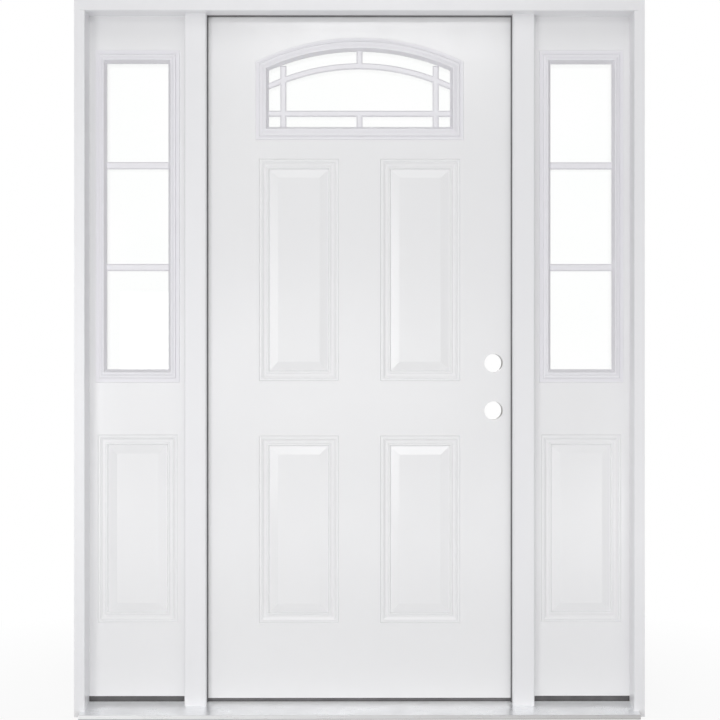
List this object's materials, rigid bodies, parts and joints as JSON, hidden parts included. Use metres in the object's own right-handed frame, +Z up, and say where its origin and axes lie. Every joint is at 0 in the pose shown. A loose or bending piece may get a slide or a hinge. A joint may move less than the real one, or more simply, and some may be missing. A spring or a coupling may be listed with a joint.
{
  "type": "door with sidelights",
  "caption": "Prehung inswing entry door with an arched lite, raised panels and a fixed sidelight on each side, in one white frame with a sloping sill.",
  "frame": {"origin": "on the underside of the sill, at mid width, on the outside face plane of the frame", "axes": "+X to the right seen from outside, +Y into the house, +Z up"},
  "size_m": [1.645, 0.1592, 2.067],
  "materials": {
    "painted_frame": "white factory primer, satin",
    "painted_steel_skin": "white prefinished steel, satin",
    "moulded_lite_frame": "white moulded frame, matt",
    "grille_bars": "white flat bar, satin",
    "clear_glass": "clear insulated unit",
    "mill_aluminium": "mill finish, brushed along its length",
    "sill_substrate": "plain substrate, unfinished",
    "dark_sill_cap": "dark bronze, matt",
    "dark_seal": "dark compression seal, matt",
    "foam_core": "rigid foam, matt",
    "stile_wood": "clear pine, unfinished",
    "hinge_steel": "satin nickel"
  },
  "bodies": {
    "frame": {"left_jamb": "painted_frame", "right_jamb": "painted_frame", "head_jamb": "painted_frame", "left_mullion": "painted_frame", "right_mullion": "painted_frame", "sill_deck": "mill_aluminium", "sill_core": "sill_substrate", "threshold_cap": "dark_sill_cap", "left_sidelight_base": "dark_sill_cap", "right_sidelight_base": "dark_sill_cap", "hinge_side_weatherstrip": "dark_seal", "latch_side_weatherstrip": "dark_seal", "head_weatherstrip": "dark_seal", "left_sidelight_panel": "painted_steel_skin", "right_sidelight_panel": "painted_steel_skin", "left_lite_outer_frame": "moulded_lite_frame", "left_lite_inner_frame": "moulded_lite_frame", "left_glass": "clear_glass", "left_grille": "grille_bars", "right_lite_outer_frame": "moulded_lite_frame", "right_lite_inner_frame": "moulded_lite_frame", "right_glass": "clear_glass", "right_grille": "grille_bars", "upper_hinge_frame_leaf": "hinge_steel", "middle_hinge_frame_leaf": "hinge_steel", "lower_hinge_frame_leaf": "hinge_steel", "upper_hinge_pin": "hinge_steel", "middle_hinge_pin": "hinge_steel", "lower_hinge_pin": "hinge_steel"},
    "door": {"door_outer_skin": "painted_steel_skin", "door_inner_skin": "painted_steel_skin", "door_core": "foam_core", "door_lock_block": "stile_wood", "door_hinge_stile": "stile_wood", "door_latch_stile": "stile_wood", "door_top_rail": "stile_wood", "door_bottom_rail": "stile_wood", "door_sweep": "dark_seal", "door_lite_outer_frame": "moulded_lite_frame", "door_lite_inner_frame": "moulded_lite_frame", "door_glass": "clear_glass", "door_grille": "grille_bars", "upper_hinge_door_leaf": "hinge_steel", "middle_hinge_door_leaf": "hinge_steel", "lower_hinge_door_leaf": "hinge_steel"}
  },
  "joints": [
    {"name": "door_hinge", "type": "hinge", "parent": "frame", "child": "door", "pos_m": [-0.45625, 0.124, 1], "axis": [0, 0, 1], "range_deg": [0, 120]}
  ]
}
